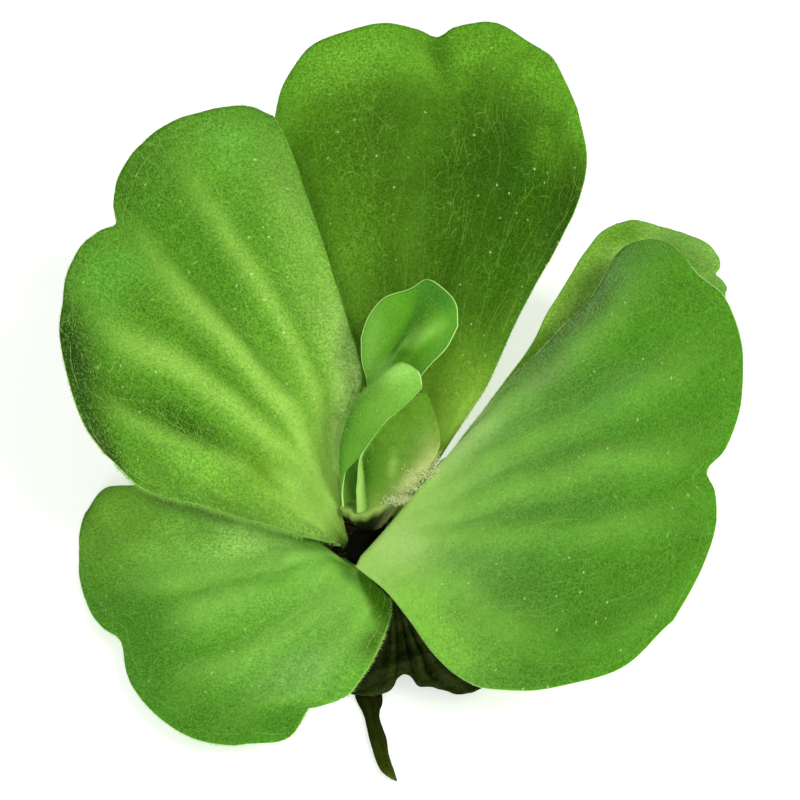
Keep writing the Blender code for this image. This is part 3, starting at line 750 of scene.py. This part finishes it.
# pale turned edges on the upper side of the right-hand leaf
lips = [edgeTube(leafRight, [(0, .22), (0, .85)], 0.075), edgeTube(leafRight, [(.1, 1), (.36, 1)], 0.085)]
rideOn(tubesPiece("leaf_right_lips", lips, plain("leafLip", "a4d27a", 0.6)), "leaf_right")

# Heart: the young spoon-shaped leaf, the rolled one, and the torn sheath. The rolled one has a spine,
# and its radius, and the degrees at which its sheet starts and ends, go by v. heel is a torn lower edge.

youngBack = dict(
    base=(-2.0, 5.3, 9.0), azimuth=78,
    pitch=[(0, 62), (12, 54), (28, 44)],
    cup=[(0, 0.2), (12, 0.1), (20, 0.05)],
    folds=[([(12, -1.4), (14, -1.8), (17.3, 0.7), (19, 1.8), (22.5, 4.2)], 1.3, 1.8),
           ([(12, -2.6), (16, -1.2), (19, -0.2), (23, 2.0), (26, 3.2)], 1.0, -0.6)],
    left=[(-1.3, 0.6), (-1.7, 8), (-2.3, 13.4), (-3.6, 16.7), (-4.1, 19.4)],
    margin=[(-4.1, 19.4), (-3.6, 21.8), (-2.2, 24.1), (0.5, 25.5), (2.2, 26.8), (4.2, 26.1),
            (5.9, 24.7), (6.5, 22.4)],
    right=[(1.3, 0.6), (1.3, 8), (1.7, 13.5), (3.7, 17.3), (5.5, 19.8), (6.5, 22.4)],
    foot=((-2.9, 4.4, 9.5), (-1.0, 4.4, 9.5)),
    quads=(90, 90, 8), sheet=(0.4, 0.7, 0.6), span=(9, 26), taper=0.8, swells=[(3, 0.05)],
    # painted highlight along the crest of the fold (the ridge and its crest colour) and painted shade in the
    # valley beside it
    ridges=[([(0, .3), (.6, .3), (.64, .34), (.67, .47), (.7, .6), (.74, .66), (.83, .76), (.88, .81),
              (1, .93)], .08, 1)],
    shadingLines=[([(0, .28), (.62, .28), (.67, .36), (.71, .45), (.74, .52), (.8, .57), (.87, .61), (1, .62)],
              .08, .8, "3c741e")],
    crest="94d060", crestShare=0.95,
    wash=[(-.5, "88b050"), (0, "84b040"), (.5, "62a026"), (.75, "5a9a1c"), (1, "549820")],
    dabs=[(.15, .82, .2, .2, "74ac46"), (.72, .97, .14, .06, "42802a"), (.95, .68, .12, .12, "5c9c30"),
          (.95, .84, .08, .1, "5e9e38"), (.4, .64, .16, .05, "8ccc60")],
    hairTone="94d060", seed=4,
)

youngFront = dict(
    spine=[(-4.4, 2.3, 12.8), (-4.7, 3.7, 16.3), (-4.8, 5.0, 18.9), (-4.2, 6.0, 20.6), (-2.6, 7.4, 23.5),
           (-0.9, 8.2, 25.2), (0.8, 9.0, 26.6), (2.5, 9.7, 27.8)],
    face=(0, -0.64, 0.77), flat=0.7, tuck=0.12, short=0.16,
    radius=[(0, 1.4), (.2, 1.3), (.34, 1.2), (.5, 1.75), (.65, 2.15), (.85, 2.2), (.95, 1.95), (1, 1.6)],
    start=[(0, 5), (.15, 15), (.3, 45), (.38, 70), (1, 75)],
    end=[(0, 285), (.12, 290), (.26, 325), (.36, 400), (.42, 412), (.6, 415), (.8, 420), (1, 424)],
    quads=(110, 100, 0), sheet=(0.3, 0.9, 0.7), span=(12, 17), taper=0.6,
    wash=[(0, "7cac4c"), (.3, "5c942e"), (.5, "5e962e"), (.8, "6ca63c"), (1, "7cb84c")],
    # painted shade: (.45, .1) and (.6, .1) on the back wall inside the open roll. painted highlight: (.7,
    # .94) on the top bend
    dabs=[(.72, .35, .08, .15, "54902c"), (.68, .55, .06, .2, "589430"), (.7, .94, .12, .09, "a0dc70"),
          (.6, .78, .08, .1, "84c254"), (.05, .15, .1, .25, "a4d070"), (.45, .1, .2, .3, "2c5a08"),
          (.6, .1, .12, .2, "3c6c14")],
    hairTone="94d060", seed=5,
)

sheath = dict(
    base=(-1.5, 1.0, 11.8), azimuth=70,
    pitch=[(-4, 5), (1, 18), (4, 50), (8, 64), (16, 66)],
    cup=[(0, 0.04)], roll=[(0, -16)],
    folds=[([(2, -4.6), (12, -4)], 1.3, -0.9)],
    left=[(-4.9, -0.3), (-5.0, 3), (-4.9, 6), (-4.2, 9.5)],
    margin=[(-4.2, 9.5), (-2, 13.0), (1.3, 16.2), (3, 14.2)],
    right=[(4.0, 9.0), (4.2, 10.4), (3.9, 12), (3, 14.2)],
    heel=[(-4.9, -0.3), (-4.4, -0.65), (-3.9, -0.5), (-3.3, -0.8), (-2.6, -0.35), (-1.9, -0.1), (-1.3, 0.75),
          (-0.7, 1.2), (-0.1, 2.2), (0.6, 2.9), (1.2, 4.1), (1.9, 5.0), (2.6, 6.3), (3.3, 7.5), (4.0, 9.0)],
    foot=((-3.4, 2.0, 9.0), (-1.6, 2.6, 9.0)), arch=0.1,
    quads=(90, 90, 12), sheet=(0.3, 0.8, 0.6), span=(10, 13), taper=0.5,
    swells=[(4, 0.14), (1.6, 0.05)],
    # painted shade: near-black below v 0, where the foot goes down into the dark heart
    wash=[(-.5, "10140a"), (-.05, "10140a"), (-.025, "1c240c"), (-.004, "64803a"), (.03, "98b45c"),
          (.08, "789c44"), (.25, "668e30"), (.6, "60902a"), (.85, "5c8c22"), (1, "5a8a1c")],
    dabs=[(.95, .08, .22, .36, "b4c47c"), (.66, .04, .18, .14, "bcc888"), (.2, .5, .16, .25, "4c8018"),
          (.98, .5, .1, .25, "7ca03c"), (.45, .4, .05, .12, "88ac54")],
    hairTone="b4d48c", seed=6,
)

tipLook = plain("youngRim", "b8e480", 0.5)
small = {"young_leaf_back": youngBack, "young_leaf_front": youngFront, "sheath": sheath}
for node, leaf in small.items():
    skin = leafSkin(node + "Skin", netShare=0.08, speckle=0.12)
    looks = [skin, skin, tipLook if node != "sheath" else skin]
    rideOn(sheetPiece(node + "_blade", leaf, looks), node, node)
    hairLook = plain(node + "Hair", leaf["hairTone"], 0.6)
    fuzzOn(node + "_hairs", leaf, node, hairLook, 16, length=(0.15, 0.34))

rims = {
    "young_leaf_back": edgeTube(youngBack, [(0, .35), (0, 1), (1, 1), (1, .45)], 0.085),
    "young_leaf_front": edgeTube(youngFront, [(0.8, 1), (1, 1), (1, .3)], 0.11),
}
for node, made in rims.items():
    rideOn(tubesPiece(node + "_rim", [made], tipLook), node)
lip = edgeTube(sheath, [(0, .3), (0, 0), (1, 0)], 0.06)
rideOn(tubesPiece("sheath_lip", [lip], plain("sheathLip", "a6c470", 0.55)), "sheath")
print("heart done")


# Cream wool at the foot of the sheath, as tufts of curled fibre

def tuft(centre, spread, count, long, thick):
    made = []
    for _ in range(count):
        start = np.array(centre) + chance.normal(0, 1, 3) * spread
        way = unit(chance.normal(0, 1, 3) + [0, -0.6, 0.8])
        curl = chance.normal(0, 1, 3) * 0.3
        share = np.linspace(0, 1, 5)[:, None]
        made.append(tube(start + (way * share + curl * share**2) * long, thick * (1.1 - share[:, 0]), 3))
    return made


wool = (tuft((2.9, 5.4, 15.2), (0.9, 0.35, 0.45), 900, 0.4, 0.045)
        + tuft((0.8, 3.1, 13.4), (0.8, 0.25, 0.25), 800, 0.35, 0.045)
        + tuft((1.9, 4.2, 14.3), (0.7, 0.3, 0.4), 300, 0.35, 0.04)
        + tuft((4.1, 6.6, 16.1), (0.4, 0.3, 0.5), 200, 0.5, 0.035))
rideOn(tubesPiece("sheath_wool", wool, plain("wool", "e8f4b4", 0.9)), "sheath")


# Crown, in the dark of the heart, painted near-black for the shade there

def ballPiece(name, segments, rings, shaped, look):  # a ball of radius 1, moved to shaped places in mm
    freshStart()
    bpy.ops.mesh.primitive_uv_sphere_add(segments=segments, ring_count=rings, radius=1)
    piece = bpy.context.object
    piece.name = piece.data.name = name
    ball = vertexPlaces(piece.data)
    turn = np.arctan2(ball[:, 1], ball[:, 0])
    putVertices(piece.data, shaped(ball, turn, np.clip(ball[:, 2], -1, 1)) * mm)
    bpy.ops.object.shade_smooth()
    piece.data.materials.append(look)
    return piece


crown = dict(centre=(-2.2, 0.8, 7.1), radius=3.2, half=1.7)


def crownPlaces(ball, turn, level):
    square = (1 - level**4) ** 0.25 / np.sqrt(np.maximum(1 - level**2, 1e-6))
    bumps = 1 + 0.03 * np.sin(7 * turn + 2 * level) + 0.02 * np.sin(13 * turn - 9 * level)
    wide = np.where(np.abs(level) < 0.999, square, 0) * bumps * crown["radius"]
    return np.stack([ball[:, 0] * wide, ball[:, 1] * wide, level * crown["half"]], 1) + crown["centre"]


# near-black: painted shade standing for the dark of the heart
crownShadeLook = plain("crownPaintedShade", "0d0f06", 0.9, gloss=0.03)
rideOn(ballPiece("crown_flesh", 64, 40, crownPlaces, crownShadeLook), "crown", "crown")

# Withered leaf and the strap-like runner

deadSkin = dict(netTone="3c4620", netShare=0.2, speckle=0.4, rough=0.7, flecks=0.0)
withered = dict(
    base=(0.3, -4.6, 6.4), azimuth=-85,
    pitch=[(0, -36), (6, -27), (12, -8)], cup=[(0, 0)],
    left=[(-1.2, 1), (-2.8, 5), (-5.6, 9), (-8.4, 11.1)],
    margin=[(-8.4, 11.1), (-7, 11.4), (-5, 11.4), (-2.7, 10.6), (-1.4, 10.1), (-0.8, 9.3), (0, 9),
            (0.8, 9.4), (1.3, 10.4), (2, 10.9), (4, 11.2), (6.3, 10.4)],
    right=[(1.6, 1), (2.4, 5), (4.5, 8.4), (6.3, 10.4)],
    foot=((0.5, -3.9, 5.7), (-1.5, -3.9, 5.7)),
    quads=(120, 90, 6), sheet=(0.3, 0.8, 0.6), span=(12, 11), taper=0.5,
    ridges=[([(0, .15), (1, .1)], .05, .8), ([(0, .35), (.5, .3), (1, .34)], .05, 1),
            ([(0, .55), (.6, .5), (1, .57)], .06, .7), ([(0, .75), (1, .72)], .05, 1),
            ([(0, .93), (1, .9)], .05, .7)],
    relief=0.8, crest="39431c", crestShare=0.7, swells=[(5, 0.35), (2.2, 0.16), (0.9, 0.05)], seed=9,
    wash=[(-.5, "14180a"), (0, "181c0a"), (.4, "232a10"), (.8, "2c3414"), (1, "2c3616")],
    dabs=[(.7, .7, .12, .2, "333d18"), (.45, .5, .1, .25, "161a08"), (1, .7, .15, .3, "1a1e0c")],
)
strap = dict(
    base=(-2.5, -9.0, 0.7), azimuth=-85, pitch=[(0, 0)], cup=[(0, -0.15)],
    left=[(-0.2, 1), (-0.6, 5.5), (-0.2, 7), (-0.1, 8.2), (-0.6, 10.5), (-0.7, 12.5), (-1.2, 15)],
    margin=[(-1.2, 15), (-1.3, 15.8), (-0.9, 15.6)],
    right=[(1.8, 1), (2.4, 4.7), (1.6, 7.5), (1.2, 10.8), (0.6, 13.6), (0, 14.9), (-0.9, 15.6)],
    foot=((-2.4, -8.6, 0.7), (-4.2, -8.6, 0.7)),
    quads=(36, 120, 6), sheet=(0.5, 0.8, 0.5), span=(2, 15), taper=0.4,
    ridges=[([(0, .3), (1, .35)], .1, .6), ([(0, .7), (1, .65)], .1, 1)],
    relief=0.12, crest="343f0c", crestShare=0.25, swells=[(4, 0.08), (1.2, 0.03)], seed=12,
    wash=[(-.5, "141808"), (0, "141702"), (.35, "161b02"), (.6, "202802"), (.85, "303b04"), (1, "48561a")],
)
for node, leaf in {"withered_leaf": withered, "stolon": strap}.items():
    rideOn(sheetPiece(node + "_blade", leaf, [leafSkin(node + "Skin", **deadSkin)]), node, node)
print("withered leaf and runner done")


# Roots: a felted core, dark brown and painted darker for the shade in the heart, then long strands with side
# hairs, spread on the surface

core = dict(centre=(-0.5, 5.0), half=(11.6, 10.6), base=0.1, tall=4.3)
roots = dict(strands=120, feathers=110)  # so many feathers to a strand


def domed(level):  # share of the core's height, 0 at its edge and 1 on top
    return 1 - (1 - np.clip(level, 0, 1)) ** 2.2


def corePlaces(ball, turn, level):
    lump = (0.5 * np.sin(5 * turn + 3 * level) + 0.3 * np.sin(11 * turn - 7 * level)
            + 0.2 * np.sin(23 * turn + 9 * level))
    flat = core["centre"] + ball[:, :2] * (core["half"] + lump[:, None])
    high = core["tall"] * np.where(level > 0, domed(level), 0.02 * (1 + level))
    furrow = 0.18 * np.sin(31 * turn) * np.clip(level, 0, 1) + 0.1 * np.sin(17 * turn + 12 * level)
    return np.column_stack([flat, core["base"] + np.clip(high + furrow * (level > 0.05), 0, 4.8)])


def coreHeight(flat):  # mm, up the core at a place; the surface beyond it is low
    off = (flat - core["centre"]) / core["half"]
    return core["base"] + core["tall"] * domed(np.sqrt(np.clip(1 - (off**2).sum(1), 0, 1)))


# dark brown felt, painted darker still as shade where it shows in the heart
rideOn(ballPiece("root_core", 120, 64, corePlaces, plain("rootFeltAndShade", "1a150c", 0.9, gloss=0.08)),
       "root_mat", "root_mat")

strands, feathers = [], []
for k in range(roots["strands"]):
    way = 2 * math.pi * (k + chance.uniform(-0.4, 0.4)) / roots["strands"]
    reach = chance.uniform(8, 14.5)
    share = np.linspace(0, 1, 40)
    sway = way + chance.uniform(-0.6, 0.6) * share + 0.12 * np.sin(share * chance.uniform(5, 11) + k)
    away = (1.2 + (reach - 1.2) * share)[:, None]
    flat = (-1.2, 3.6) + away * np.stack([np.cos(sway), np.sin(sway) * 0.95], 1)
    z = coreHeight(flat) + chance.uniform(-0.1, 0.3)
    z = z + 0.18 * np.sin(share * 11 + k) + 1.1 * smooth(1 - share / 0.2)
    line = np.column_stack([flat, np.maximum(z, 0.3)])
    strands.append(tube(line, 0.22 * (1 - 0.72 * share), 6))
    at = chance.uniform(0.15, 1, roots["feathers"])
    spots = np.stack([np.interp(at, share, line[:, j]) for j in range(3)], 1)
    out = unit(chance.normal(0, 1, (roots["feathers"], 3)) * [1, 1, 0.45])
    long = chance.uniform(0.6, 1.9, roots["feathers"])
    out[:, 2] -= np.minimum(0, spots[:, 2] + out[:, 2] * long - 0.12) / long  # none goes below the surface
    feathers.append(needles(spots, out, long, 0.06))
rideOn(tubesPiece("root_strands", strands, plain("rootStrand", "4f3f26", 0.8)), "root_mat")
rideOn(joinedPiece("root_feathers", feathers, plain("rootFeather", "54442c", 0.85)), "root_mat")
print("roots done")


# Ribs that stand out on the undersides of the grown leaves

ribLook = plain("underRib", "80ae4c", 0.6)
for node, leaf in grownLeaves.items():
    ribs = []
    for foot in (.08, .2, .34, .47, .6, .73, .86, .95):
        v = np.linspace(0.03, 0.8 + 0.1 * math.sin(foot * 20), 44)
        u = 0.5 + (foot - 0.5) * (0.9 + 0.1 * v) + 0.008 * np.sin(v * 9 + foot * 30)
        here, normal = surfaceAt(leaf, u, v, -1)[:2]
        ribs.append(tube(here - normal * 0.04, 0.3 * (1 - v) ** 0.8 + 0.04, 8))
        for start, lean in ((12, 0.14), (20, -0.12), (28, 0.1)):  # forks, thinner than the rib they leave
            share = np.linspace(0, 1, 18)
            reach = v[start] + 0.3 * share
            away = np.clip(np.interp(reach, v, u) + lean * 0.5 * share**0.8, 0.03, 0.97)
            here, normal = surfaceAt(leaf, away, reach, -1)[:2]
            ribs.append(tube(here - normal * 0.03, (0.16 - 0.1 * share) * (1 - v[start]) + 0.02, 6))
    rideOn(tubesPiece(node + "_ribs", ribs, ribLook), node)
print("ribs done")

# Floor, light and camera

camera = bpy.data.cameras.new("camera")
camera.lens, camera.sensor_width, camera.clip_start = 85, 36, 0.01
viewer = bpy.data.objects.new("camera", camera)
bpy.context.scene.collection.objects.link(viewer)
aim, far, tilt = Vector((0.0005, 0.011, 0.0212)), 0.208, math.radians(50)  # it looks down by the tilt
viewer.location = aim + far * Vector((0, -math.cos(tilt), math.sin(tilt)))
viewer.rotation_euler = (math.radians(90) - tilt, 0, 0)
bpy.context.scene.camera = viewer

freshStart()
bpy.ops.mesh.primitive_plane_add(size=3, location=(0, 0, 0))
floor = bpy.context.object
floor.name = "floor"
floorLook = plain("floor", "f4f4f2", 0.8)
floorShader = floorLook.node_tree.nodes["Principled BSDF"]
floorShader.inputs["Emission Color"].default_value = (1, 1, 1, 1)
floorShader.inputs["Emission Strength"].default_value = 0.5
floor.data.materials.append(floorLook)

world = bpy.data.worlds.new("studio")
bpy.context.scene.world = world
world.use_nodes = True
sky = world.node_tree.nodes["Background"]
sky.inputs["Color"].default_value = (1, 1, 1, 1)
sky.inputs["Strength"].default_value = 0.44


def softLight(name, place, size, energy):
    lamp = bpy.data.lights.new(name, "AREA")
    lamp.size, lamp.energy = size, energy
    made = bpy.data.objects.new(name, lamp)
    made.location = place
    made.rotation_euler = (Vector((0, 0.01, 0.015)) - Vector(place)).to_track_quat("-Z", "Y").to_euler()
    bpy.context.scene.collection.objects.link(made)


softLight("key", (0.22, -0.12, 0.36), 0.14, 0.95)
softLight("fill", (-0.06, -0.36, 0.17), 0.2, 0.6)
bpy.context.scene.view_settings.view_transform = "Standard"
